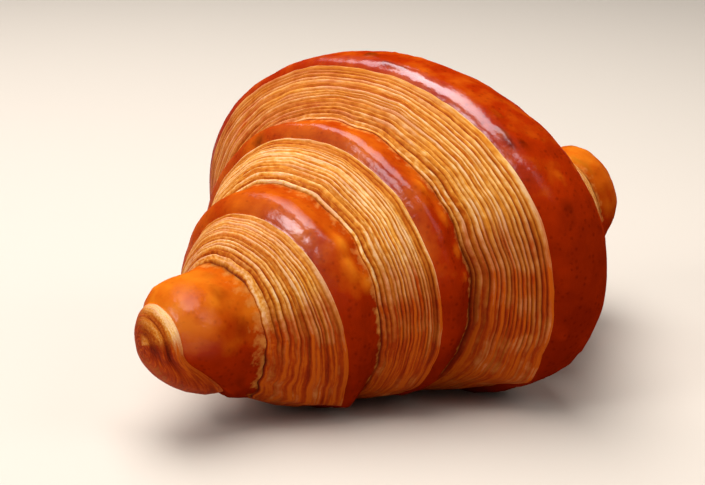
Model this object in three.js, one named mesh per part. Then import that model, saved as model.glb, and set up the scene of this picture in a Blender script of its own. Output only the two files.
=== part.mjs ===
// A croissant. One long triangle of laminated dough is rolled up from its base to its point, so the
// outside is one band that winds from the middle to each tip. Across the band lie two things: first
// the cut edge of the dough, whose layers show as ridges, and then the smooth skin, up to its lip.
// Millimetres. X runs along the roll, -Y is the front, Z is up, and the underside rests at Z = 0.
import * as THREE from 'three';
import { mergeVertices } from 'three/addons/utils/BufferGeometryUtils.js';

// The band. Its place is counted in turns: a turn begins under the roll and goes round by the front,
// the top and the back. The dough's point is tucked 20 degrees behind the middle of the underside.
const TUCKED_POINT = -20 / 360;
const LAST_TURN = 4;

// How far out from the middle of the roll the lip of the skin lies
const LIP_TURNS = [
  TUCKED_POINT, 0, 0.125, 0.25, 0.5, 0.75, 1, 1.25, 1.5, 1.75, 2, 2.25, 2.5, 2.75, 3, 3.25, 3.5, 3.75, 4,
];
const LIP_OUT = [0, 3, 5.5, 8.4, 9.8, 15.5, 20, 25.4, 26.2, 32, 35, 41.5, 44.5, 49, 56, 70.4, 70, 67, 56];

// The share of the band that is cut edge, the rest being skin
const CUT_TURNS = [1, 1.25, 1.5, 2, 2.5, 3, 3.25, 3.5, 4];
const CUT_SHARE = [0.7, 0.49, 0.57, 0.61, 0.48, 0.69, 0.42, 0.35, 0.4];

// Half width, half height and centre height of the roll, at distances out from its middle: along the
// lips, and along the creases, where a cut edge ends on the skin that comes out from under it
const TIP = 73.4;
const LIP_AT = [0, 11, 26, 44, 58, 70];
const LIP_WIDTH = [51.5, 48.5, 34, 20.5, 13.4, 7.2];
const LIP_HEIGHT = [35.2, 35, 28.2, 21, 12.9, 8.2];
const LIP_CENTRE = [35, 34.6, 28.7, 23, 21.8, 21.3];
const CREASE_AT = [8, 19.5, 36, 54, 66];
const CREASE_WIDTH = [38.9, 33.2, 24.5, 12.1, 8.4];
const CREASE_HEIGHT = [31.9, 28.7, 23, 14, 10.1];
const CREASE_CENTRE = [33.7, 30.7, 24.9, 20.7, 21.5];

// The far half is the same, but its flap is narrower and its tip plumper, turned up and bent back
const FAR_AT = [0, 9, 40, 75];
const FAR_WIDTH = [1, 1, 1.07, 1.21];
const FAR_HEIGHT = [1, 0.97, 1.01, 1.22];
const FAR_LIFT = [0, -0.6, 1.2, 7.7];
const FAR_BACK = [0, 0, 1.8, 6];
const FAR_OUT_AT = [0, 9, 30, 75];
const FAR_OUT = [0.82, 0.82, 0.95, 1];
const FAR_CUT_TURNS = [2.9, 3.25, 3.5, 4];
const FAR_CUT_MORE = [0, 0.24, 0.2, 0];  // share by which its last cut edge is wider

// The whole roll leans towards the near tip
const LEAN = 0.11;
const LEAN_ABOUT = 34;

// The lips near the middle are fuller below than an ellipse: this is the power of their curve
const FULL_MIDDLE = 2.35;
const ROUND = 2;
const FULL_FROM = 8;
const FULL_TO = 22;

const END_BACK = 1.5;         // how far the middle of a tip's end is bent back

// Relief
const SKIN_CROWN = 2.2;       // rise of the skin between its crease and its lip
const CROWN_BELOW = 0.5;      // share of that rise that is left under the roll
const FLAP_CROWN = 1.6;       // rise of the middle flap over its lip
const CROWN_EDGE = 8;         // how sharply a crown rolls over at the lip
const CROWN_STARTS = 0.75;    // share of the skin over which its crown rises from the crease
const CUT_BULGE = 0.8;        // rise of the cut edge over a straight slope
const RIDGES = 6;             // layers drawn on a cut edge
const RIDGE_DEPTH = 0.8;
const GROOVE_UNDER = 1;       // depth of the creases in the flat underside
const STEP_GROWS = 0.25;      // turns over which the first step grows from the tucked point
const NARROW_BAND = 8;        // a band narrower than this has a lower step

// Points of skin that flaked up at the lip, low at the front: turn, spread in turns and height
const FLAKES = [
  { turn: 0.125, spread: 0.035, height: 2 },
  { turn: 2.1, spread: 0.035, height: 1.8 },
];
const FLAKE_CURL = 4;         // how sharply the skin turns up to a flake

// Fineness of the faces
const TURN_STEPS = 36;
const CUT_STEPS = 2 * RIDGES;
const SKIN_STEPS = 5;
const END_STEPS = 4;

const { lerp, clamp, smoothstep } = THREE.MathUtils;

// A smooth curve through a few sizes that never swings past them
function through(at, size) {
  const last = at.length - 1;
  const slope = at.slice(1).map((x, i) => (size[i + 1] - size[i]) / (x - at[i]));
  const tangent = at.map((x, i) => {
    if (i === 0 || i === last || slope[i - 1] * slope[i] <= 0) return 0;
    return (2 * slope[i - 1] * slope[i]) / (slope[i - 1] + slope[i]);
  });
  return (x) => {
    const inside = clamp(x, at[0], at[last]);
    let i = 0;
    while (i < last - 1 && inside > at[i + 1]) i += 1;
    const span = at[i + 1] - at[i];
    const u = (inside - at[i]) / span;
    const bend = span * u * (1 - u) * (tangent[i] * (1 - u) - tangent[i + 1] * u);
    return size[i] + u * u * (3 - 2 * u) * (size[i + 1] - size[i]) + bend;
  };
}

const lipOutNear = through(LIP_TURNS, LIP_OUT);
const cutShareNear = through(CUT_TURNS, CUT_SHARE);
const farCutMore = through(FAR_CUT_TURNS, FAR_CUT_MORE);
const lipSizes = [LIP_WIDTH, LIP_HEIGHT, LIP_CENTRE].map((sizes) => through(LIP_AT, sizes));
const creaseSizes = [CREASE_WIDTH, CREASE_HEIGHT, CREASE_CENTRE].map((sizes) => through(CREASE_AT, sizes));
const farSizes = [FAR_WIDTH, FAR_HEIGHT, FAR_LIFT, FAR_BACK].map((sizes) => through(FAR_AT, sizes));
const [farWidth, farHeight, farLift, farBack] = farSizes;
const farOut = through(FAR_OUT_AT, FAR_OUT);

const swell = (share) => Math.sin(Math.PI * share);

// A side is -1 for the near half of the roll and 1 for the far half
function lipOut(turn, side) {
  const out = lipOutNear(turn);
  return side < 0 ? out : out * farOut(out);
}

function cutShare(turn, side) {
  return cutShareNear(turn) + (side < 0 ? 0 : farCutMore(turn));
}

// The roll's section at a distance out from its middle
function section(sizes, out, side) {
  const [width, height, centre] = sizes.map((size) => size(out));
  const full = sizes === lipSizes ? lerp(FULL_MIDDLE, ROUND, smoothstep(out, FULL_FROM, FULL_TO)) : ROUND;
  if (side < 0) return { out, width, height, centre, back: 0, full };
  return {
    out,
    full,
    width: width * farWidth(out),
    height: height * farHeight(out),
    centre: centre + farLift(out),
    back: farBack(out),
  };
}

function between(a, b, share) {
  const blend = {};
  for (const key of Object.keys(a)) blend[key] = lerp(a[key], b[key], share);
  return blend;
}

// A flake is a point that stands up from the near lip
function flakeRise(turn, side) {
  if (side > 0) return 0;
  const rises = FLAKES.map((flake) => flake.height * (1 - Math.abs(turn - flake.turn) / flake.spread));
  return Math.max(0, ...rises);
}

function lipSection(turn, side) {
  const lip = section(lipSizes, lipOut(turn, side), side);
  const rise = flakeRise(turn, side);
  return { ...lip, width: lip.width + rise, height: lip.height + rise };
}

// The rise of the skin between its crease and its lip
function skinCrown(turn, share) {
  const below = clamp(Math.cos(2 * Math.PI * turn), 0, 1);
  const rise = SKIN_CROWN * smoothstep(share, 0, CROWN_STARTS) * (1 - share ** CROWN_EDGE);
  return rise * lerp(1, CROWN_BELOW, below);
}

// Only the lower half of a section is fuller than an ellipse
function fuller(value, below, full) {
  return below ? Math.sign(value) * Math.abs(value) ** (ROUND / full) : value;
}

// A point of the surface on a section, standing out by rise; floor is the least height it may have
function place(part, turn, side, rise, floor) {
  const angle = 2 * Math.PI * turn;
  const below = Math.cos(angle) > 0;
  const across = fuller(Math.sin(angle), below, part.full);
  const down = fuller(Math.cos(angle), below, part.full);
  const z = Math.max(part.centre - (part.height + rise) * down, floor);
  const x = side * part.out - LEAN * (z - LEAN_ABOUT);
  const y = part.back - (part.width + rise) * across;
  return new THREE.Vector3(x, y, z);
}

// The band's point at a turn. Step 0 is its inner border, CUT_STEPS its crease, the last its lip.
function bandPoint(turn, step, side) {
  const lip = lipSection(turn, side);
  if (turn < 1 + TUCKED_POINT) {
    const share = step / (CUT_STEPS + SKIN_STEPS);
    const skin = section(lipSizes, lip.out * share, side);
    const rise = flakeRise(turn, side) * share ** FLAKE_CURL + FLAP_CROWN * (1 - share ** CROWN_EDGE);
    return place(skin, turn, side, rise, 0);
  }
  const border = lipSection(turn - 1, side);
  const creaseOut = lerp(border.out, lip.out, cutShare(turn, side));
  const grown = smoothstep(turn, 1 + TUCKED_POINT, 1 + TUCKED_POINT + STEP_GROWS);
  const depth = grown * smoothstep(lip.out - border.out, 0, NARROW_BAND);
  const crease = between(section(lipSizes, creaseOut, side), section(creaseSizes, creaseOut, side), depth);
  if (step <= CUT_STEPS) {
    const share = step / CUT_STEPS;
    const ridge = step % CUT_STEPS === 0 ? 0 : (step % 2 - 0.5) * RIDGE_DEPTH;
    const rise = (CUT_BULGE * swell(share) + ridge) * depth;
    return place(between(border, crease, share), turn, side, rise, GROOVE_UNDER * share * depth);
  }
  const share = (step - CUT_STEPS) / SKIN_STEPS;
  const rise = skinCrown(turn, share) * depth;
  return place(between(crease, lip, share), turn, side, rise, GROOVE_UNDER * (1 - share) * depth);
}

// The rounded cut end inside the last lip, closed on the tip
function endPoint(turn, step, side) {
  const lip = lipSection(turn, side);
  const turnIn = (Math.PI / 2) * (step / END_STEPS);
  const tip = section(lipSizes, TIP, side);
  const middle = { ...tip, width: 0, height: 0, back: tip.back + END_BACK };
  const at = between(middle, lip, Math.cos(turnIn));
  at.out = lerp(lip.out, TIP, Math.sin(turnIn));
  return place(at, turn, side, 0, 0);
}

// Triangles of a sheet of points, rows by columns, wound so that they face out of the roll
function addSheet(triangles, rows, side) {
  for (let i = 0; i + 1 < rows.length; i += 1) {
    for (let j = 0; j + 1 < rows[i].length; j += 1) {
      const [a, b, c, d] = [rows[i][j], rows[i + 1][j], rows[i + 1][j + 1], rows[i][j + 1]];
      for (const [p, q, r] of [[a, b, c], [a, c, d]]) {
        triangles.push(side < 0 ? [p, q, r] : [p, r, q]);
      }
    }
  }
}

// Rows of points between two turns, each with the given steps across
function makeRows(from, to, steps, point, side) {
  const rows = [];
  for (let i = Math.round(from * TURN_STEPS); i <= to * TURN_STEPS; i += 1) {
    const row = [];
    for (let step = 0; step <= steps; step += 1) row.push(point(i / TURN_STEPS, step, side));
    rows.push(row);
  }
  return rows;
}

// Where the band narrows to nothing its triangles shrink to lines, which are dropped
function withoutSlivers(geometry) {
  const index = geometry.getIndex();
  const kept = [];
  for (let i = 0; i < index.count; i += 3) {
    const [a, b, c] = [index.getX(i), index.getX(i + 1), index.getX(i + 2)];
    if (a !== b && b !== c && c !== a) kept.push(a, b, c);
  }
  geometry.setIndex(kept);
  return geometry;
}

function makeCroissant() {
  const triangles = [];
  for (const side of [-1, 1]) {
    addSheet(triangles, makeRows(TUCKED_POINT, LAST_TURN, CUT_STEPS + SKIN_STEPS, bandPoint, side), side);
    addSheet(triangles, makeRows(LAST_TURN - 1, LAST_TURN, END_STEPS, endPoint, side), side);
  }
  const loose = new THREE.BufferGeometry();
  const positions = triangles.flat().flatMap((point) => point.toArray());
  loose.setAttribute('position', new THREE.Float32BufferAttribute(positions, 3));
  return withoutSlivers(mergeVertices(loose, 1e-3));
}

// The origin lies on the ground, under the middle of the croissant's box
const geometry = makeCroissant();
geometry.computeBoundingBox();
const { min, max } = geometry.boundingBox;
geometry.translate(-(min.x + max.x) / 2, -(min.y + max.y) / 2, -min.z);
geometry.computeVertexNormals();

const crust = new THREE.MeshStandardMaterial({ color: 0xb0622a, roughness: 0.45, metalness: 0 });
const croissant = new THREE.Mesh(geometry, crust);
croissant.name = 'croissant';

const part = new THREE.Group();
part.add(croissant);

export default part;
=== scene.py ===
# %% [markdown]
# A croissant, rolled and baked
#
# A croissant is one long triangle of laminated dough, many thin layers of dough with butter between
# them, rolled up from the base of the triangle to its point and then egg-washed and baked. What shows
# is one band that winds from the middle of the roll to each tip. Across the band lie the cut edge of
# the dough, where the layers open as ridges, and the glazed skin, up to its own lip.
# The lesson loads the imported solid, rolls a fine sheet of faces in the same way, and gives it two
# finishes: the egg-washed skin and the laminated cut edge.

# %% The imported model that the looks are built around
import math
import random
from collections import namedtuple
from functools import lru_cache

import bmesh
import bpy
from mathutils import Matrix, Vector, noise


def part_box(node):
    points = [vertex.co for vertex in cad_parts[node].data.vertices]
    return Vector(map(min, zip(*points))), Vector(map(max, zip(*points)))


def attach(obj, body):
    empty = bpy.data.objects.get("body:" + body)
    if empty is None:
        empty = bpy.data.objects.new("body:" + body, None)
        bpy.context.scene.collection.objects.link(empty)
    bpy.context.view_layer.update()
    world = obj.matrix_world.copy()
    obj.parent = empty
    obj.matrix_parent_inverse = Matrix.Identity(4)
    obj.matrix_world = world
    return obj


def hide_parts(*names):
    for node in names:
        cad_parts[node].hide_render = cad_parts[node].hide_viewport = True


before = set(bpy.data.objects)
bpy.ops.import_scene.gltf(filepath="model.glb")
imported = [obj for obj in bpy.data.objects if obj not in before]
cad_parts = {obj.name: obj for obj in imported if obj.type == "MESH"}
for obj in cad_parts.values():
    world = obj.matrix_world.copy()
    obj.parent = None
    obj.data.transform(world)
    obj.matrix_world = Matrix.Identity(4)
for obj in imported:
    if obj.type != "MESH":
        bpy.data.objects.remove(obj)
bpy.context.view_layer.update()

packed_low, packed_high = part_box("croissant")
print("packed croissant, mm:", [round(1000 * side) for side in packed_high - packed_low])

# %% [markdown]
# The camera
#
# It stands where the photograph was taken from: a long lens close above the board, looking along the
# near half of the roll. The back of the camera points away from the croissant, so a direction worked
# out from two angles and one distance gives its place, and a track quaternion turns it.

# %% The camera at the photograph's angle
CAMERA_AZIMUTH = math.radians(-45)
CAMERA_ELEVATION = math.radians(14)
CAMERA_DISTANCE = 0.45
CAMERA_TARGET = Vector((-0.0081, 0.0081, 0.0295))
CAMERA_LENS = 105.1           # in millimetres, on a sensor 36 mm wide

towards_camera = Vector((
    math.sin(CAMERA_AZIMUTH) * math.cos(CAMERA_ELEVATION),
    -math.cos(CAMERA_AZIMUTH) * math.cos(CAMERA_ELEVATION),
    math.sin(CAMERA_ELEVATION),
))
camera = bpy.data.objects.new("camera", bpy.data.cameras.new("camera"))
camera.data.lens = CAMERA_LENS
camera.data.sensor_width = 36
camera.location = CAMERA_TARGET + CAMERA_DISTANCE * towards_camera
camera.rotation_euler = towards_camera.to_track_quat("Z", "Y").to_euler()
bpy.context.scene.collection.objects.link(camera)
bpy.context.scene.camera = camera
print("camera at, m:", [round(c, 3) for c in camera.location])

# %% [markdown]
# Smooth curves through a few sizes
#
# The roll is described by a few measured sizes, in millimetres. Between them its shape is a curve that
# passes through every size and never swings past one, so a swelling stays a swelling and a step stays
# a step. The same small helpers blend two sizes and ease a value in and out. Baked dough is never quite
# even, so smooth noise lets its sizes wander; the odd numbers in a call of noise only pick a fresh
# stretch of it, so that no two features wander together.

# %% Helpers for shares and curves
MM = 0.001


def clamp(value, low=0.0, high=1.0):
    return min(max(value, low), high)


def lerp(a, b, share):
    return a + (b - a) * share


def ease(value, start, end):
    share = clamp((value - start) / (end - start))
    return share * share * (3 - 2 * share)


def swell(share):
    return math.sin(math.pi * share)


def through(at, size):
    last = len(at) - 1
    slope = [(size[i + 1] - size[i]) / (at[i + 1] - at[i]) for i in range(last)]
    tangent = [0.0] * (last + 1)
    for i in range(1, last):
        if slope[i - 1] * slope[i] > 0:
            tangent[i] = 2 * slope[i - 1] * slope[i] / (slope[i - 1] + slope[i])

    def curve(x):
        x = clamp(x, at[0], at[last])
        i = 0
        while i < last - 1 and x > at[i + 1]:
            i += 1
        span = at[i + 1] - at[i]
        u = (x - at[i]) / span
        bend = span * u * (1 - u) * (tangent[i] * (1 - u) - tangent[i + 1] * u)
        return size[i] + u * u * (3 - 2 * u) * (size[i + 1] - size[i]) + bend

    return curve


# %% [markdown]
# The path of the band
#
# The baker's roll is followed in turns. A turn begins under the roll, goes up the front, over the top
# and down the back. The dough's point is tucked a little behind the middle of the underside. For each
# place in the turns, one curve says how far out from the middle the lip of the skin lies, and another
# says which share of the band is cut edge.

# %% Turns of the band, as far out as they lie in millimetres
TUCKED_POINT = -20 / 360
LAST_TURN = 4
TIP = 73.4
LIP_TURNS = [
    TUCKED_POINT, 0, 0.125, 0.25, 0.5, 0.75, 1, 1.25, 1.5, 1.75, 2, 2.25, 2.5, 2.75, 3, 3.25, 3.5, 3.75, 4,
]
LIP_OUT = [0, 3, 5.5, 8.4, 9.8, 15.5, 20, 25.4, 26.2, 32, 35, 41.5, 44.5, 49, 56, 70.4, 70, 67, 56]
CUT_TURNS = [1, 1.25, 1.5, 2, 2.5, 3, 3.25, 3.5, 4]
CUT_SHARE = [0.7, 0.49, 0.57, 0.61, 0.48, 0.69, 0.42, 0.35, 0.4]
FAR_CUT_TURNS = [2.9, 3.25, 3.5, 4]
FAR_CUT_MORE = [0, 0.24, 0.2, 0]
FAR_OUT_AT = [0, 9, 30, 75]
FAR_OUT = [0.82, 0.82, 0.95, 1]
LIP_WAVE = 0.5                # how far a lip strays from its smooth course
WAVES_A_TURN = 7
WAVE_GROWS = (0, 4)           # millimetres out over which the straying begins
WAVE_FADES = (2.5, 2.9)       # turns over which the straying ends, before the closed tip

near_lip_out = through(LIP_TURNS, LIP_OUT)
near_cut_share = through(CUT_TURNS, CUT_SHARE)
far_cut_more = through(FAR_CUT_TURNS, FAR_CUT_MORE)
far_out = through(FAR_OUT_AT, FAR_OUT)


def lip_out(turn, side):
    """Side is -1 for the near half of the roll and 1 for the far half."""
    out = near_lip_out(turn)
    if side > 0:
        out *= far_out(out)
    stray = noise.noise((turn * WAVES_A_TURN, side * 3.7, 0.5)) * (1 - ease(turn, *WAVE_FADES))
    return max(0.0, out + LIP_WAVE * stray * ease(out, *WAVE_GROWS))


def cut_share(turn, side):
    return near_cut_share(turn) + (far_cut_more(turn) if side > 0 else 0)


FRONT = 0.25                  # the front of the roll, as a share of a turn
print("lips at the front, mm out:", [round(lip_out(turn + FRONT, -1), 1) for turn in range(LAST_TURN)])

# %% [markdown]
# The section of the roll
#
# Cut across at any distance out, the roll is nearly an ellipse. It is larger along the lips than along
# the creases, where a cut edge ends on the skin that comes out from under it, and that difference
# makes the steps of the croissant. A section is held as one vector of six sizes, because vectors
# already know how to blend.

# %% Half widths, half heights and centres, in millimetres
LIP_AT = [0, 11, 26, 44, 58, 70]
LIP_WIDTH = [51.5, 48.5, 34, 20.5, 13.4, 7.2]
LIP_HEIGHT = [35.2, 35, 28.2, 21, 12.9, 8.2]
LIP_CENTRE = [35, 34.6, 28.7, 23, 21.8, 21.3]
CREASE_AT = [8, 19.5, 36, 54, 66]
CREASE_WIDTH = [38.9, 33.2, 24.5, 12.1, 8.4]
CREASE_HEIGHT = [31.9, 28.7, 23, 14, 10.1]
CREASE_CENTRE = [33.7, 30.7, 24.9, 20.7, 21.5]
FAR_AT = [0, 9, 40, 75]
FAR_WIDTH = [1, 1, 1.07, 1.21]
FAR_HEIGHT = [1, 0.97, 1.01, 1.22]
FAR_LIFT = [0, -0.6, 1.2, 7.7]
FAR_BACK = [0, 0, 1.8, 6]
FULL_MIDDLE = 2.35            # the power of the curve of the lower half, where 2 is an ellipse
ROUND = 2
FULL_BETWEEN = (8, 22)

lip_sizes = [through(LIP_AT, sizes) for sizes in (LIP_WIDTH, LIP_HEIGHT, LIP_CENTRE)]
crease_sizes = [through(CREASE_AT, sizes) for sizes in (CREASE_WIDTH, CREASE_HEIGHT, CREASE_CENTRE)]
far_width, far_height, far_lift, far_back = (
    through(FAR_AT, sizes) for sizes in (FAR_WIDTH, FAR_HEIGHT, FAR_LIFT, FAR_BACK)
)


def section(sizes, out, side):
    """Distance out, half width, half height, centre height, shift to the back and fullness below."""
    width, height, centre = (size(out) for size in sizes)
    full = lerp(FULL_MIDDLE, ROUND, ease(out, *FULL_BETWEEN)) if sizes is lip_sizes else ROUND
    if side < 0:
        return Vector((out, width, height, centre, 0, full))
    width *= far_width(out)
    height *= far_height(out)
    return Vector((out, width, height, centre + far_lift(out), far_back(out), full))


print("section of the middle, mm:", [round(size, 1) for size in section(lip_sizes, 0, -1)])

# %% [markdown]
# Carrying a point to its place
#
# The whole roll leans a little towards the near tip, and the dough sags, so the lower half of the lips
# near the middle is fuller than an ellipse. At the lip the skin flaked up in two points, low at the front.

# %% Lean, sag and flakes
LEAN = 0.11
LEAN_ABOUT = 34
Flake = namedtuple("Flake", "turn spread height")
FLAKES = [Flake(0.125, 0.035, 2), Flake(2.1, 0.035, 1.8)]
FLAKE_CURL = 4                # how sharply the skin turns up to a flake


def flake_rise(turn, side):
    if side > 0:
        return 0.0
    return max(0.0, *(flake.height * (1 - abs(turn - flake.turn) / flake.spread) for flake in FLAKES))


@lru_cache(maxsize=None)
def lip_section(turn, side):
    rise = flake_rise(turn, side)
    return section(lip_sizes, lip_out(turn, side), side) + Vector((0, rise, rise, 0, 0, 0))


def fuller(value, below, full):
    return math.copysign(abs(value) ** (ROUND / full), value) if below else value


def place(part, turn, side, rise=0.0, floor=0.0):
    """A point on a section, standing out by rise, and never lower than floor."""
    out, width, height, centre, back, full = part
    angle = 2 * math.pi * turn
    below = math.cos(angle) > 0
    across = fuller(math.sin(angle), below, full)
    down = fuller(math.cos(angle), below, full)
    z = max(centre - (height + rise) * down, floor)
    return Vector((side * out - LEAN * (z - LEAN_ABOUT), back - (width + rise) * across, z))


top = place(lip_section(0.5, -1), 0.5, -1)
print("top of the first lip, mm:", [round(c, 1) for c in top])

# %% [markdown]
# The ridges of the cut edge
#
# Each ridge is a layer of dough that swelled in the oven, and each groove is the butter that held it
# apart. The ridges keep a column of faces in every groove, so the grooves stay sharp, and only their
# widths and depths wander along the turn: some layers are thick, some close up and some merge. Low on
# the roll, where the dough lay against itself, they nearly vanish.

# %% Where the ridges lie across the cut edge, and how deep the grooves are
RIDGES = 16
RIDGE_COLUMNS = (0, 0.33, 0.67)
GROOVE_DEPTH = 0.95
CREST_SHARPNESS = 0.75        # over 1 the crests are narrow and the grooves broad
RIDGE_TOAST = 0.5             # how much darker one ridge's crest is than another's
TOAST_BASE = 0.3
TOAST_WANDER = 1.2
GROOVE_OPEN = 0.85            # how far a groove is open as a rule, and how far that wanders
GROOVE_WANDER = 0.9
GROOVE_LEAST = 0.12
RIDGE_WANDER = 0.45           # share by which a ridge is thicker or thinner than the others
WANDER_A_TURN = 1.8
MERGED_BELOW = (8, 36)        # height in millimetres over which the grooves deepen
GROOVE_LOW = 0.15             # share of its depth that a groove keeps below that


@lru_cache(maxsize=None)
def ridge_borders(turn, side):
    """The shares of the cut edge at which the ridges begin, and at last 1."""
    widths = []
    for ridge in range(RIDGES):
        wander = noise.noise((ridge * 4.3, turn * WANDER_A_TURN, side * 7.1))
        widths.append(1 + 2 * RIDGE_WANDER * wander)
    borders = [0.0]
    for width in widths:
        borders.append(borders[-1] + width)
    return [border / borders[-1] for border in borders]


@lru_cache(maxsize=None)
def groove_strengths(turn, side):
    """How far each groove is open, from 0 at the two borders of the cut edge to 1."""
    inner = []
    for groove in range(1, RIDGES):
        wander = noise.noise((groove * 3.1, turn * WANDER_A_TURN, side * 5.3 + 20))
        inner.append(clamp(GROOVE_OPEN + GROOVE_WANDER * wander, GROOVE_LEAST, 1))
    return [0.0] + inner + [0.0]


def crest_toast(ridge, turn, side):
    """How far the crest of a ridge is toasted, from 0 to RIDGE_TOAST."""
    wander = noise.noise((ridge * 6.7, turn * WANDER_A_TURN, side * 8.3 + 60))
    return RIDGE_TOAST * clamp(TOAST_BASE + TOAST_WANDER * wander)


front_borders = ridge_borders(1 + FRONT, -1)
thickest = max(b - a for a, b in zip(front_borders, front_borders[1:]))
print("thickest ridge at the front, as a share of the cut edge:", round(thickest, 2))

# %% [markdown]
# The rest of the relief
#
# The skin crowns between its crease and its lip, and bakes in soft lumps. Where a cut edge ends on the
# next skin the dough tears a little, which leaves a crack, painted dark as shade.

# %% Lumps, creases and cracks, in millimetres
SKIN_CROWN = 2.2
CROWN_BELOW = 0.5             # share of the crown that is left under the roll
FLAP_CROWN = 1.6
FLAP_MIDDLE = 0.5             # the middle of the flap lies as far across as the middle of a skin
CROWN_EDGE = 8                # how sharply the crown rolls over at the lip
CROWN_STARTS = 0.75           # share of the skin over which it rises from its crease
CUT_BULGE = 0.8
GROOVE_UNDER = 1
STEP_GROWS = 0.25             # turns over which the first step grows from the tucked point
NARROW_BAND = 8               # a band narrower than this has a lower step
CRACK_DEPTH = 1.3
CRACKS_A_TURN = 5
WIDEST_CRACK = 1.2            # the turn at which the crack is widest, and the turns that it runs each way
CRACK_RUNS = 0.14
CRACK_TORN = 0.7
CRACK_BASE = 0.3              # how far the crease is torn elsewhere, and how far that wanders
CRACK_WANDER = 1.3
CRACK_SHADE_REACH = 0.09            # share of the skin beside the crease that the crack's painted shade reaches
CREASE_RAGGED = 0.7           # how far the torn edge of the dough strays from the crease
RAGS_A_TURN = 26
LUMP_HEIGHT = 0.4
LUMP_SIZE = 9


def crown(share):
    """The crown of the skin: it rises from the crease and rolls over at the lip."""
    return ease(share, 0, CROWN_STARTS) * (1 - share ** CROWN_EDGE)


def skin_crown(turn, share):
    return SKIN_CROWN * crown(share) * lerp(1, CROWN_BELOW, clamp(math.cos(2 * math.pi * turn)))


def lump(point):
    return LUMP_HEIGHT * noise.fractal(point / LUMP_SIZE, 1.0, 2.0, 3)


def crack(turn, side):
    """How far the crease is torn open: widest low at the front of the first step."""
    torn = CRACK_TORN * clamp(1 - abs(turn - WIDEST_CRACK) / CRACK_RUNS)
    return clamp(CRACK_BASE + torn + CRACK_WANDER * noise.noise((turn * CRACKS_A_TURN, side * 2.9, 40)))


print("crack where it is widest:", round(crack(WIDEST_CRACK, -1), 2))

# %% [markdown]
# Blisters
#
# Steam under the egg wash raised small blisters. The large ones are placed where the photograph shows
# them; those that stand high or close to the lip are scorched, and those low in a hollow stay amber.
# Smaller ones are scattered over both halves by a seeded draw, so that they fall alike each time.

# %% Blisters of the skin
Blister = namedtuple("Blister", "side turn across radius height char amber")
BLISTERS = [
    Blister(-1, 0.503, 0.46, 1.6, 0.5, 0.9, 0),
    Blister(-1, 0.481, 0.76, 1.5, 0.5, 0.7, 0),
    Blister(-1, 0.469, 0.78, 1.3, 0.5, 0.8, 0),
    Blister(-1, 0.375, 0.74, 1.4, 0.5, 0.7, 0),
    Blister(-1, 0.364, 0.78, 1.4, 0.5, 0.8, 0),
    Blister(-1, 0.362, 0.52, 1.2, 0.4, 0.6, 0),
    Blister(-1, 2.358, 0.38, 2.6, 0.7, 0, 0.35),
    Blister(-1, 2.325, 0.46, 2.8, 0.7, 0, 0.4),
    Blister(-1, 2.297, 0.2, 2.4, 0.6, 0, 0.35),
    Blister(-1, 3.397, 0.38, 1.6, 0.6, 0.5, 0),
    Blister(-1, 1.364, 0.38, 2.0, 0.5, 0, 0.35),
    Blister(-1, 1.325, 0.29, 2.2, 0.5, 0, 0.35),
    Blister(-1, 1.286, 0.25, 2.2, 0.5, 0, 0.4),
    Blister(-1, 1.258, 0.29, 1.9, 0.5, 0, 0.35),
    # A dent rather than a blister: its dark is painted shade.
    Blister(-1, 1.569, 0.92, 1.6, -0.5, 0.6, 0),
]
BLISTER_SEED = 5
SMALL_BLISTERS = 150
SMALL_RADIUS = (1.2, 2.2)
SMALL_HEIGHT = (0.1, 0.3)
SMALL_TURNS = (0.1, 3.9)      # the turns, and then the shares of the skin, that they are scattered over
SMALL_ACROSS = (0.1, 0.95)
SMALL_CHARS = (0, 0, 0.35)    # one in three is scorched, and one in two is amber
SMALL_AMBERS = (0, 0.15)
ALONG_TURN = 1.4              # a blister is this much longer along the turn
BLISTER_EDGE = 20             # how closely to the lip the blisters reach

draw = random.Random(BLISTER_SEED)
for _ in range(SMALL_BLISTERS):
    BLISTERS.append(Blister(
        draw.choice((-1, 1)), draw.uniform(*SMALL_TURNS), draw.uniform(*SMALL_ACROSS),
        draw.uniform(*SMALL_RADIUS), draw.uniform(*SMALL_HEIGHT),
        draw.choice(SMALL_CHARS), draw.choice(SMALL_AMBERS),
    ))
largest_radius = max(blister.radius for blister in BLISTERS)


def girth(turn, side):
    """How far it is around the lip, in millimetres."""
    return 2 * math.pi * lip_section(turn, side)[1]


@lru_cache(maxsize=None)
def blisters_near(turn, side):
    """The blisters that a row of the skin crosses."""
    reach = ALONG_TURN * largest_radius / girth(turn, side)
    return [b for b in BLISTERS if b.side == side and abs(b.turn - turn) < reach]


def blistered(turn, across, side, width):
    """Rise, char and amber that the blisters give to a point of the skin; on the dent the dark is painted
    shade.
    """
    rise, char, amber = 0.0, 0.0, 0.0
    for b in blisters_near(turn, side):
        along = (turn - b.turn) * girth(turn, side) / ALONG_TURN
        away = math.hypot(along, (across - b.across) * width) / b.radius
        if away < 1:
            dome = (1 - away * away) ** 2
            rise += b.height * dome
            char = max(char, b.char * dome)
            amber = max(amber, b.amber * dome)
    return rise, char, amber


print("blisters:", len(BLISTERS))
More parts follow.
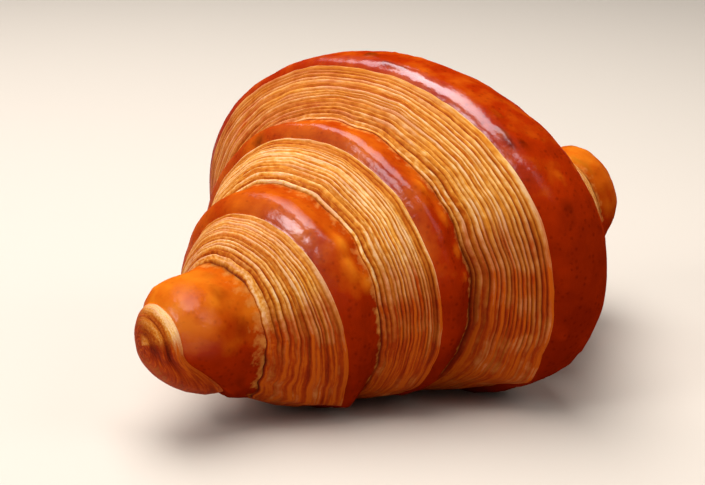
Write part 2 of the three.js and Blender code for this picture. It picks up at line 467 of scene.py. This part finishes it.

# %% [markdown]
# Browning and painted shade
#
# The oven browns the croissant unevenly. The skin is amber on top and deep mahogany low on the sides,
# and that darkening low on the roll is partly the bake and partly painted shade. The cut edge is cream
# on its crests and browner in its grooves, partly toast and partly painted shade, and both sink into
# red-brown towards the underside, again partly painted shade. Some layers of the cut edge are painted
# darker as shade. The egg wash lies thickest by the lips, high on the roll, and there it shines.
# Every point carries four numbers for its finish: how brown it is, painted shade included; how high it
# stands on its ridge, or on the skin how thick the egg wash lies; how dark it is with the char of
# blisters and the painted shade of cracks and a dent; and how far across its stretch of the band it lies.

# %% How brown each point is, by the place within a turn: the bake, and painted shade low on the roll
ROUND_TURN = [0, 0.12, 0.2, 0.27, 0.34, 0.45, 0.6, 0.8, 1]
# Both darken low on the roll: partly the bake, partly painted shade.
CUT_BROWN_AND_SHADE = [1, 1, 0.96, 0.74, 0.26, 0.38, 0.42, 0.6, 1]
SKIN_BROWN_AND_SHADE = [1, 0.98, 0.85, 0.68, 0.5, 0.42, 0.46, 0.65, 1]
FLAP_DARKER = 0.12            # the middle flap stands highest in the oven
FLAP_ENDS = (0.9, 1.1)
SHADY_LAYERS_AT = [1.38, 1.5, 1.9, 2.1, 3, 3.5]     # turns where the layers are painted darker, as painted shade
SHADY_LAYERS = [0, 0.18, 0.25, 0, 0, 0.1]
TIP_PALER = 0.16              # how much paler the last skin is
TIP_STARTS = (3, 3.2)
FRONT_GLOSS_TURNS = [0, 0.3, 0.36, 0.44, 0.5, 0.57, 1.25, 1.35, 1.42, 1.5, 1.58]     # the egg wash
FRONT_GLOSS = [0, 0, 0.45, 1, 0.4, 0.05, 0, 0.3, 0.5, 0.35, 0.05]
TIP_GLOSS_TURNS = [1.6, 2.25, 2.33, 2.37, 2.41, 2.46, 2.55, 3.2, 3.33, 3.4, 3.5]
TIP_GLOSS = [0, 0, 0.1, 0.7, 0.9, 0.4, 0.05, 0, 0.3, 0.2, 0]
FAR_GLOSS = 0.5               # the far half is less glossy
BACK_GLOSS = 0.25
BACK_STARTS = 0.56            # share of a turn at which the back begins
GLOSS_POOLS = (0.5, 0.85)     # share across the skin over which the egg wash thickens towards the lip
Touch = namedtuple("Touch", "place brown crest char across")
cut_round = through(ROUND_TURN, CUT_BROWN_AND_SHADE)
skin_round = through(ROUND_TURN, SKIN_BROWN_AND_SHADE)
front_gloss = through(FRONT_GLOSS_TURNS, FRONT_GLOSS)
tip_gloss = through(TIP_GLOSS_TURNS, TIP_GLOSS)
shady_layers = through(SHADY_LAYERS_AT, SHADY_LAYERS)


def skin_brown_and_shade(turn):
    brown = skin_round(turn % 1) + FLAP_DARKER * (1 - ease(turn, *FLAP_ENDS))
    return clamp(brown - TIP_PALER * ease(turn, *TIP_STARTS))


def skin_gloss(turn, share, side):
    front = front_gloss(turn) if turn < TIP_GLOSS_TURNS[0] else tip_gloss(turn)
    back = BACK_GLOSS * swell(clamp((turn % 1 - BACK_STARTS) / (1 - BACK_STARTS)))
    return max(front, back) * ease(share, *GLOSS_POOLS) * (1 if side < 0 else FAR_GLOSS)


def cut_brown_and_shade(turn):
    return clamp(cut_round(turn % 1) + shady_layers(turn))


second_browns = [round(skin_brown_and_shade(turn), 2) for turn in (1.25, 1.5)]
print("brown of the second skin at its front and top:", second_browns)

# %% [markdown]
# One point of the band
#
# The band is a sheet with fixed columns: three to each ridge of the cut edge, then closer columns by
# the crease and by the lip of the skin. Before the dough's point has come round once there is no cut
# edge yet, only the skin of the middle flap, which both halves share along the middle of the roll.
# The cut end inside the last lip is a small cap: one pale outer layer and the toasted layers within.

# %% Columns across the band
CUT_COLUMNS = RIDGES * len(RIDGE_COLUMNS)
SKIN_SHARES = (0.03, 0.08, 0.15, 0.24, 0.33, 0.42, 0.51, 0.60, 0.69, 0.77, 0.84, 0.90, 0.95, 0.98, 1.0)
BAND_COLUMNS = CUT_COLUMNS + len(SKIN_SHARES)
END_COLUMNS = 12
ROWS_A_TURN = 180
FLAP_SEAM = (0.1, 0.3)        # share of the flap over which its blisters begin, clear of its middle


@lru_cache(maxsize=None)
def band_sections(turn, side):
    """The sections at the inner border, the crease and the lip, and how deep the step between them is."""
    lip = lip_section(turn, side)
    border = lip_section(turn - 1, side)
    width = lip[0] - border[0]
    ragged = CREASE_RAGGED * noise.noise((turn * RAGS_A_TURN, side * 4.9, 80)) * ease(width, 0, NARROW_BAND)
    crease_out = lerp(border[0], lip[0], cut_share(turn, side)) + ragged
    first_turn = 1 + TUCKED_POINT
    depth = ease(turn, first_turn, first_turn + STEP_GROWS) * ease(width, 0, NARROW_BAND)
    crease = section(lip_sizes, crease_out, side).lerp(section(crease_sizes, crease_out, side), depth)
    return border, crease, lip, depth


def flap_touch(turn, share, side):
    lip = lip_section(turn, side)
    skin = section(lip_sizes, lip[0] * share, side)
    blister, char, amber = blistered(turn, share, side, lip[0])
    rise = flake_rise(turn, side) * share ** FLAKE_CURL + FLAP_CROWN * (1 - share ** CROWN_EDGE)
    smooth = place(skin, turn, side, rise)
    blister *= ease(share, *FLAP_SEAM) * (1 - share ** BLISTER_EDGE)
    point = place(skin, turn, side, rise + lump(smooth) + blister)
    shine = skin_gloss(turn, share, side)
    return Touch(point, clamp(skin_brown_and_shade(turn) - amber), shine, char, lerp(FLAP_MIDDLE, 1.0, share))


def cut_touch(turn, column, side):
    border, crease, _, depth = band_sections(turn, side)
    ridge, step = divmod(column, len(RIDGE_COLUMNS))
    if ridge == RIDGES:
        # The crease is cut in, and painted dark by the same amount as shade in the crack.
        open_crack = crack(turn, side) * depth
        smooth = place(crease, turn, side, 0.0, GROOVE_UNDER * depth)
        point = place(crease, turn, side, lump(smooth) - CRACK_DEPTH * open_crack, GROOVE_UNDER * depth)
        return Touch(point, cut_brown_and_shade(turn), 0.0, open_crack, 1.0)
    borders = ridge_borders(turn, side)
    grooves = groove_strengths(turn, side)
    within = RIDGE_COLUMNS[step]
    share = lerp(borders[ridge], borders[ridge + 1], within)
    part = border.lerp(crease, share)
    floor = GROOVE_UNDER * share * depth
    smooth = place(part, turn, side, CUT_BULGE * swell(share) * depth, floor)
    openness = lerp(grooves[ridge], grooves[ridge + 1], within)
    openness *= lerp(GROOVE_LOW, 1, ease(smooth.z, *MERGED_BELOW))
    cut_in = openness * (1 - swell(within) ** CREST_SHARPNESS)
    rise = (CUT_BULGE * swell(share) - GROOVE_DEPTH * cut_in) * depth + lump(smooth)
    if column == 0:
        rise = lump(place(part, turn, side, 0.0, 0.0))
    # The crest number falls where a groove cuts in, so the grooves are painted darker: partly toast, partly
    # shade.
    crest = (1 - cut_in) * (1 - crest_toast(ridge, turn, side) * swell(within))
    return Touch(place(part, turn, side, rise, floor), cut_brown_and_shade(turn), crest, 0.0, share)


def skin_touch(turn, share, side):
    _, crease, lip, depth = band_sections(turn, side)
    part = crease.lerp(lip, share)
    floor = GROOVE_UNDER * (1 - share) * depth
    blister, char, amber = blistered(turn, share, side, math.dist(lip[:3], crease[:3]))
    rise = skin_crown(turn, share) * depth
    smooth = place(part, turn, side, rise, floor)
    point = place(part, turn, side, rise + lump(smooth) + blister * (1 - share ** BLISTER_EDGE), floor)
    # The skin beside the crease is painted dark as shade in the crack.
    torn = crack(turn, side) * depth * clamp(1 - share / CRACK_SHADE_REACH)
    shine = skin_gloss(turn, share, side)
    return Touch(point, clamp(skin_brown_and_shade(turn) - amber), shine, max(char, torn), share)


def band_touch(turn, column, side):
    if turn < 1 + TUCKED_POINT:
        return flap_touch(turn, column / BAND_COLUMNS, side)
    if column <= CUT_COLUMNS:
        return cut_touch(turn, column, side)
    return skin_touch(turn, SKIN_SHARES[column - CUT_COLUMNS - 1], side)


print("columns across the band:", BAND_COLUMNS)

# %% The cut end of a tip
END_BACK = 1.5                # millimetres by which the middle of a tip's end is bent back
END_GROOVES = (0.4, 0.72)
END_GROOVE_WIDTH = 0.13
END_GROOVE_DEPTH = 0.9
END_LAYERS_START = (0.08, 0.2)     # shares of a turn over which the layers open, and then close
END_LAYERS_STOP = (0.45, 0.7)
END_INSIDE = (0.36, 0.5)      # share over which the end turns from its outer layer to the toasted ones
END_CREST = 0.7
END_BROWN = 0.4
END_FADES = 8                 # how closely to its middle the end keeps its relief


def end_touch(turn, column, side):
    """The rounded cut end inside the last lip, closed on the tip."""
    share = column / END_COLUMNS
    turn_in = math.pi / 2 * share
    _, _, _, centre, back, full = section(lip_sizes, TIP, side)
    tip = Vector((TIP, 0, 0, centre, back + END_BACK, full))
    part = tip.lerp(lip_section(turn, side), math.cos(turn_in))
    part[0] = lerp(lip_section(turn, side)[0], TIP, math.sin(turn_in))
    smooth = place(part, turn, side)
    open_here = ease(turn % 1, *END_LAYERS_START) * (1 - ease(turn % 1, *END_LAYERS_STOP))
    cut_in = open_here * max(clamp(1 - abs(share - groove) / END_GROOVE_WIDTH) for groove in END_GROOVES)
    rise = (lump(smooth) * math.cos(turn_in) - END_GROOVE_DEPTH * cut_in) * clamp(END_FADES * (1 - share))
    inside = ease(share, *END_INSIDE)
    # Its grooves are painted darker as shade, as on the cut edge.
    crest = lerp(END_CREST, (1 - cut_in) * lerp(1, END_CREST, inside), open_here)
    brown = max(lerp(1, cut_brown_and_shade(turn), open_here), END_BROWN * inside)
    return Touch(place(part, turn, side, rise), brown, crest, 0.0, share)


print("columns across the end of a tip:", END_COLUMNS)

# %% [markdown]
# Rolling the sheets
#
# Each half of the roll starts as a flat grid, whose rows run along the turns and whose columns run
# across the band. Every vertex is then carried to its place, and the band's lip lands exactly on its
# own inner border one turn later, so removing doubles welds the spiral, the two halves and the ends
# into one closed skin. Faces keep the four numbers of their corners in a colour layer, and their place
# along and across the band in a UV map.

# %% The rolled mesh
SKIN_FINISH = 0
CUT_FINISH = 1
WELD = 1e-6
UV_A_TURN = 20                # centimetres of pattern along one turn
UV_ACROSS = 1.2               # and across one cut edge
SIDES = (-1, 1)


def roll_sheet(bm, turns, columns, touch, side):
    """A grid between two turns, carried to its place on one half of the roll."""
    first, last = turns
    rows = round((last - first) * ROWS_A_TURN)
    grid = bmesh.ops.create_grid(bm, x_segments=rows, y_segments=columns, size=0.5)
    made = {}
    for vertex in grid["verts"]:
        turn = first + round((vertex.co.x + 0.5) * rows) / ROWS_A_TURN
        column = round((vertex.co.y + 0.5) * columns)
        made[vertex] = (turn, column, touch(turn, column, side))
    for vertex, (_, _, felt) in made.items():
        vertex.co = felt.place * MM
    return made


def finish_faces(bm, made, is_cut, columns):
    """Gives each new face its material, its place along the band, and its browning with its painted shade.
    """
    band_uv = bm.loops.layers.uv.verify()
    baked = bm.loops.layers.float_color.get("baked") or bm.loops.layers.float_color.new("baked")
    for face in {face for vertex in made for face in vertex.link_faces}:
        corners = [made[vertex] for vertex in face.verts]
        first_turn = min(turn for turn, _, _ in corners)
        first_column = min(column for _, column, _ in corners)
        on_cut = is_cut(first_turn, first_column)
        face.material_index = CUT_FINISH if on_cut else SKIN_FINISH
        face.smooth = True
        for loop, (turn, column, felt) in zip(face.loops, corners):
            skin_starts = not on_cut and column == CUT_COLUMNS and first_turn >= 1 + TUCKED_POINT
            across = 0.0 if skin_starts else felt.across
            cut_starts = on_cut and column == 0
            crest = 1.0 if cut_starts else felt.crest
            loop[band_uv].uv = (turn * UV_A_TURN, column / columns * UV_ACROSS)
            loop[baked] = (felt.brown, crest, felt.char, across)


def band_is_cut(turn, column):
    return turn >= 1 + TUCKED_POINT and column < CUT_COLUMNS


bm = bmesh.new()
for side in SIDES:
    band = roll_sheet(bm, (TUCKED_POINT, LAST_TURN), BAND_COLUMNS, band_touch, side)
    finish_faces(bm, band, band_is_cut, CUT_COLUMNS)
    end = roll_sheet(bm, (LAST_TURN - 1, LAST_TURN), END_COLUMNS, end_touch, side)
    finish_faces(bm, end, lambda turn, column: True, END_COLUMNS)
print("loose sheets:", len(bm.verts), "vertices")
bmesh.ops.remove_doubles(bm, verts=bm.verts, dist=WELD)
bmesh.ops.dissolve_degenerate(bm, edges=bm.edges, dist=WELD)
bmesh.ops.recalc_face_normals(bm, faces=bm.faces)
open_edges = sum(not edge.is_manifold for edge in bm.edges)
print("welded:", len(bm.verts), "vertices,", len(bm.faces), "faces,", open_edges, "open edges")

# %% The rolled mesh stands on the floor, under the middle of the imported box
low = Vector([min(vertex.co[axis] for vertex in bm.verts) for axis in range(3)])
high = Vector([max(vertex.co[axis] for vertex in bm.verts) for axis in range(3)])
shift = (packed_low + packed_high - low - high) / 2
shift.z = packed_low.z - low.z
bmesh.ops.translate(bm, vec=shift, verts=bm.verts)
print("moved by, mm:", [round(1000 * c, 2) for c in shift])
print("triangles:", sum(len(face.verts) - 2 for face in bm.faces))

croissant = bpy.data.objects.new("baked_croissant", bpy.data.meshes.new("baked_croissant"))
bm.to_mesh(croissant.data)
bm.free()
bpy.context.scene.collection.objects.link(croissant)

# %% [markdown]
# Colours and nodes
#
# Colours are written as the hex values that a paint program shows, so one function turns them into the
# linear numbers that a shader wants. One more small function adds a node with its settings and links.

# %% Helpers for materials
MIX_SHARE, MIX_FROM, MIX_TO = 0, 6, 7     # the sockets that a Mix node of colours uses
MIXED = 2
CHAR_AND_SHADE_COLOUR = "#300500"          # the char of blisters, and the painted shade of cracks and a dent


def linear(hex_colour):
    """The linear RGBA of an sRGB hex colour."""
    parts = [int(hex_colour[i:i + 2], 16) / 255 for i in (1, 3, 5)]
    return [c / 12.92 if c <= 0.04045 else ((c + 0.055) / 1.055) ** 2.4 for c in parts] + [1.0]


def add(tree, kind, inputs=None, stops=None, **settings):
    """Adds a node. Inputs are values or the outputs that feed them; stops are a colour ramp's colours."""
    made = tree.nodes.new("ShaderNode" + kind)
    for name, value in settings.items():
        setattr(made, name, value)
    for name, value in (inputs or {}).items():
        if isinstance(value, bpy.types.NodeSocket):
            tree.links.new(value, made.inputs[name])
        else:
            made.inputs[name].default_value = value
    if stops:
        elements = made.color_ramp.elements
        elements.remove(elements[1])
        elements[0].position, elements[0].color = stops[0][0], linear(stops[0][1])
        for position, colour in stops[1:]:
            elements.new(position).color = linear(colour)
    return made


def new_material(name):
    """A material whose node tree is empty."""
    material = bpy.data.materials.new(name)
    material.use_nodes = True
    tree = material.node_tree
    tree.nodes.clear()
    return material, tree


# %% [markdown]
# Egg-washed skin
#
# The skin is bread crust under a thin film of baked egg, which browned by the sugars at its surface:
# amber where the oven was mild, mahogany where it was hot. Low on the roll that mahogany is partly
# painted shade. The film is a clear coat, as thick as the rolled mesh says, over a matte crust. Small
# blisters and darker freckles break it up, and pale flakes cling near the crease. The dark of the cracks
# by the crease, and of one dent, is painted shade.

# %% The egg-washed skin
MOTTLE_SIZE = 6               # millimetres, as the sizes below
WRINKLE_SIZE = 0.9
BLISTER_SIZE = 2.4
FRECKLE_SIZE = 1.1
FRECKLES_FROM = 1.15          # a lower number keeps more of the freckles
FLAKE_SIZE = 1.6
FLAKES_REACH = 0.34           # share of the skin, from its crease, over which pale flakes cling


def egg_washed_skin():
    material, tree = new_material("egg_washed_skin")
    in_object = add(tree, "TexCoord").outputs["Object"]
    baked = add(tree, "Attribute", attribute_name="baked")
    parts = add(tree, "SeparateColor", {"Color": baked.outputs["Color"]})
    mottle = add(tree, "TexNoise", {"Vector": in_object, "Scale": 1 / (MOTTLE_SIZE * MM), "Detail": 5})
    mottled = add(tree, "MapRange", {
        "Value": mottle.outputs["Fac"], "From Min": 0.3, "From Max": 0.7, "To Min": -0.14, "To Max": 0.14,
    })
    brown = add(tree, "Math", {0: parts.outputs["Red"], 1: mottled.outputs["Result"]}, operation="ADD")
    # The darker crust low on the roll is partly the bake and partly painted shade.
    crust = add(tree, "ValToRGB", {"Fac": brown.outputs["Value"]}, stops=[
        (0.0, "#cf7416"), (0.3, "#b8510a"), (0.6, "#952402"), (1.0, "#761802"),
    ])
    freckles = add(tree, "TexVoronoi", {"Vector": in_object, "Scale": 1 / (FRECKLE_SIZE * MM)})
    freckle = add(tree, "MapRange", {
        "Value": freckles.outputs["Distance"],
        "From Min": 0.0, "From Max": 0.5, "To Min": 0.75, "To Max": 0.0,
    })
    chance = add(tree, "SeparateColor", {"Color": freckles.outputs["Color"]})
    crowd = add(tree, "Math", {0: chance.outputs["Red"], 1: mottle.outputs["Fac"]}, operation="ADD")
    kept = add(tree, "Math", {0: crowd.outputs["Value"], 1: FRECKLES_FROM}, operation="GREATER_THAN")
    darkened = add(tree, "Math", {
        0: freckle.outputs["Result"], 1: parts.outputs["Red"],
    }, operation="MULTIPLY")
    freckled = add(tree, "Math", {
        0: darkened.outputs["Value"], 1: kept.outputs["Value"],
    }, operation="MULTIPLY")
    spotted = add(tree, "Mix", {
        MIX_SHARE: freckled.outputs["Value"], MIX_FROM: crust.outputs["Color"], MIX_TO: linear("#560b01"),
    }, data_type="RGBA")
    flake = add(tree, "TexNoise", {"Vector": in_object, "Scale": 1 / (FLAKE_SIZE * MM), "Detail": 4})
    near_crease = add(tree, "MapRange", {
        "Value": baked.outputs["Alpha"], "From Max": FLAKES_REACH, "To Min": 0.5, "To Max": 0.0,
    })
    cling = add(tree, "Math", {
        0: flake.outputs["Fac"], 1: near_crease.outputs["Result"],
    }, operation="ADD")
    flaked = add(tree, "MapRange", {
        "Value": cling.outputs["Value"], "From Min": 0.8, "From Max": 1.15, "To Max": 0.9,
    })
    flaky = add(tree, "Mix", {
        MIX_SHARE: flaked.outputs["Result"], MIX_FROM: spotted.outputs[MIXED], MIX_TO: linear("#c98038"),
    }, data_type="RGBA")
    # Char on the blisters, and painted shade in the cracks and in a dent.
    charred_and_shaded = add(tree, "Mix", {
        MIX_SHARE: parts.outputs["Blue"], MIX_FROM: flaky.outputs[MIXED], MIX_TO: linear(CHAR_AND_SHADE_COLOUR),
    }, data_type="RGBA")
    blisters = add(tree, "TexVoronoi", {
        "Vector": in_object, "Scale": 1 / (BLISTER_SIZE * MM), "Smoothness": 0.6,
    }, feature="SMOOTH_F1")
    wrinkle = add(tree, "TexNoise", {"Vector": in_object, "Scale": 1 / (WRINKLE_SIZE * MM), "Detail": 3})
    blistered = add(tree, "Bump", {
        "Height": blisters.outputs["Distance"], "Strength": 0.3, "Distance": 0.5 * MM,
    }, invert=True)
    bump = add(tree, "Bump", {
        "Height": wrinkle.outputs["Fac"], "Strength": 0.3, "Distance": 0.25 * MM,
        "Normal": blistered.outputs["Normal"],
    })
    shader = add(tree, "BsdfPrincipled", {
        "Base Color": charred_and_shaded.outputs[MIXED], "Roughness": 0.45, "Normal": bump.outputs["Normal"],
        "Coat Weight": parts.outputs["Green"], "Coat Roughness": 0.2, "Coat IOR": 1.8,
        "Specular IOR Level": 0.0, "Coat Normal": bump.outputs["Normal"],
    })
    add(tree, "OutputMaterial", {"Surface": shader.outputs["BSDF"]})
    return material


# %% [markdown]
# Laminated cut edge
#
# A cut edge was never washed with egg, so it is matte bread. The crests of its layers stay cream and the
# grooves are brown, partly toast and partly painted shade, as the colour follows how deep each groove
# cuts in. Fine flaky streaks run along the layers. They are stretched along the band's own UV map,
# because that is the way the layers run. Low on the roll the edge is darker, partly by the bake and
# partly as painted shade, and its crack at the crease is painted dark as shade.

# %% The laminated cut edge
STREAK_LENGTH = 14            # millimetres
STREAK_WIDTH = 0.5
CRUMB_LENGTH = 1.7
CRUMB_WIDTH = 0.5
PATCH_SIZE = 6                # of the patches that the oven browned more or less


def along_layers(tree, band, length, width, detail):
    """Noise that is stretched along the layers, with patches of a length and a width in millimetres."""
    stretched = add(tree, "Mapping", {"Vector": band.outputs["UV"], "Scale": (10 / length, 10 / width, 1)})
    return add(tree, "TexNoise", {"Vector": stretched.outputs["Vector"], "Scale": 1.0, "Detail": detail})


def laminated_edge():
    material, tree = new_material("laminated_edge")
    band = add(tree, "UVMap", uv_map="band")
    baked = add(tree, "Attribute", attribute_name="baked")
    parts = add(tree, "SeparateColor", {"Color": baked.outputs["Color"]})
    streak = along_layers(tree, band, STREAK_LENGTH, STREAK_WIDTH, 3)
    streaked = add(tree, "MapRange", {
        "Value": streak.outputs["Fac"], "From Min": 0.3, "From Max": 0.7, "To Min": -0.3, "To Max": 0.26,
    })
    crumb = along_layers(tree, band, CRUMB_LENGTH, CRUMB_WIDTH, 3)
    near_crease = add(tree, "MapRange", {
        "Value": baked.outputs["Alpha"], "From Min": 0.6, "From Max": 1.0, "To Min": 0.36, "To Max": 0.62,
    })
    crumbed = add(tree, "MapRange", {
        "Value": crumb.outputs["Fac"], "From Min": 0.32, "From Max": 0.68, "To Min": -0.5, "To Max": 0.42,
    })
    torn = add(tree, "Math", {
        0: crumbed.outputs["Result"], 1: near_crease.outputs["Result"],
    }, operation="MULTIPLY")
    smoother = add(tree, "MapRange", {"Value": parts.outputs["Red"], "To Min": 1.0, "To Max": 0.3})
    crumbs = add(tree, "Math", {
        0: torn.outputs["Value"], 1: smoother.outputs["Result"],
    }, operation="MULTIPLY")
    grained = add(tree, "Math", {
        0: streaked.outputs["Result"], 1: crumbs.outputs["Value"],
    }, operation="ADD")
    crest = add(tree, "Math", {0: parts.outputs["Green"], 1: grained.outputs["Value"]}, operation="ADD")
    # The crest number darkens the grooves: partly toast, partly painted shade.
    pale = add(tree, "ValToRGB", {"Fac": crest.outputs["Value"]}, stops=[
        (0.0, "#8a3200"), (0.3, "#b35208"), (0.6, "#dc8c2a"), (0.8, "#efb45c"), (1.0, "#fbd99e"),
    ])
    dark = add(tree, "ValToRGB", {"Fac": crest.outputs["Value"]}, stops=[
        (0.0, "#4c0c00"), (0.5, "#802000"), (0.8, "#9e3602"), (1.0, "#b44e07"),
    ])
    patch = add(tree, "TexNoise", {
        "Vector": add(tree, "TexCoord").outputs["Object"], "Scale": 1 / (PATCH_SIZE * MM), "Detail": 4,
    })
    patchy = add(tree, "MapRange", {
        "Value": patch.outputs["Fac"], "From Min": 0.3, "From Max": 0.7, "To Min": 0.9, "To Max": 1.3,
    })
    # Darker low on the roll, partly by the bake and partly as painted shade.
    brown_and_shade_here = add(tree, "Math", {
        0: parts.outputs["Red"], 1: patchy.outputs["Result"],
    }, operation="MULTIPLY")
    brown = add(tree, "Math", {
        0: brown_and_shade_here.outputs["Value"], 1: streaked.outputs["Result"],
    }, operation="ADD")
    toasted_and_shaded = add(tree, "Mix", {
        MIX_SHARE: brown.outputs["Value"], MIX_FROM: pale.outputs["Color"], MIX_TO: dark.outputs["Color"],
    }, data_type="RGBA")
    # The crease is painted dark as shade in the crack.
    crack_shaded = add(tree, "Mix", {
        MIX_SHARE: parts.outputs["Blue"], MIX_FROM: toasted_and_shaded.outputs[MIXED], MIX_TO: linear(CHAR_AND_SHADE_COLOUR),
    }, data_type="RGBA")
    rough = add(tree, "Bump", {"Height": streak.outputs["Fac"], "Strength": 0.5, "Distance": 0.5 * MM})
    bump = add(tree, "Bump", {
        "Height": crumb.outputs["Fac"], "Strength": 0.15, "Distance": 0.3 * MM,
        "Normal": rough.outputs["Normal"],
    })
    shader = add(tree, "BsdfPrincipled", {
        "Base Color": crack_shaded.outputs[MIXED], "Roughness": 0.6, "Normal": bump.outputs["Normal"],
        "Specular IOR Level": 0.04,
    })
    add(tree, "OutputMaterial", {"Surface": shader.outputs["BSDF"]})
    return material


croissant.data.materials.append(egg_washed_skin())
croissant.data.materials.append(laminated_edge())
croissant.data.uv_layers[0].name = "band"
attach(croissant, "root")
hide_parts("croissant")
print("finishes:", [slot.material.name for slot in croissant.material_slots])

# %% [markdown]
# The table and the light
#
# A pale table carries the croissant. A long soft panel of light hangs above it, and its picture is the
# streak on the middle flap. A smaller panel at the left puts the shine by the lips of the near half, and
# a weak one in front opens the shade. The room around them is dim.

# %% A pale floor and three soft lights
FLOOR_SIZE = 6
ABOVE_SIZE = (1.1, 0.45)
ABOVE_PLACE = Vector((0.02, 0.18, 0.62))
ABOVE_TURN = math.radians(60)
ABOVE_WATTS = 9.8
LEFT_SIZE = (0.4, 0.4)
LEFT_PLACE = Vector((-0.85, 0.06, 0.5))
LEFT_WATTS = 3.8
FRONT_SIZE = (0.6, 0.4)
FRONT_PLACE = Vector((0.2, -0.75, 0.6))
FRONT_WATTS = 1.8
ROOM_STRENGTH = 0.25


def make_floor():
    bm = bmesh.new()
    bmesh.ops.create_grid(bm, x_segments=1, y_segments=1, size=FLOOR_SIZE / 2)
    floor = bpy.data.objects.new("floor", bpy.data.meshes.new("floor"))
    bm.to_mesh(floor.data)
    bm.free()
    material, tree = new_material("pale_table")
    shader = add(tree, "BsdfPrincipled", {"Base Color": linear("#c6b9a6"), "Roughness": 0.9})
    add(tree, "OutputMaterial", {"Surface": shader.outputs["BSDF"]})
    floor.data.materials.append(material)
    bpy.context.scene.collection.objects.link(floor)
    return floor


def make_light(name, hangs_at, turned, size, watts):
    """A soft panel of light that hangs at a place, turned by three angles."""
    lamp = bpy.data.lights.new(name, "AREA")
    lamp.shape = "RECTANGLE"
    lamp.size, lamp.size_y = size
    lamp.energy = watts
    lamp.color = linear("#f4f6ff")[:3]
    light = bpy.data.objects.new(name, lamp)
    light.location = hangs_at
    light.rotation_euler = turned
    bpy.context.scene.collection.objects.link(light)


def make_room():
    world = bpy.data.worlds.new("room")
    world.use_nodes = True
    background = world.node_tree.nodes["Background"]
    background.inputs["Color"].default_value = linear("#e8ebf2")
    background.inputs["Strength"].default_value = ROOM_STRENGTH
    bpy.context.scene.world = world


make_floor()
left_turned = LEFT_PLACE.to_track_quat("Z", "Y").to_euler()
front_turned = FRONT_PLACE.to_track_quat("Z", "Y").to_euler()
make_light("window_above", ABOVE_PLACE, (0, 0, ABOVE_TURN), ABOVE_SIZE, ABOVE_WATTS)
make_light("window_left", LEFT_PLACE, left_turned, LEFT_SIZE, LEFT_WATTS)
make_light("window_front", FRONT_PLACE, front_turned, FRONT_SIZE, FRONT_WATTS)
make_room()
bpy.context.scene.view_settings.view_transform = "Standard"
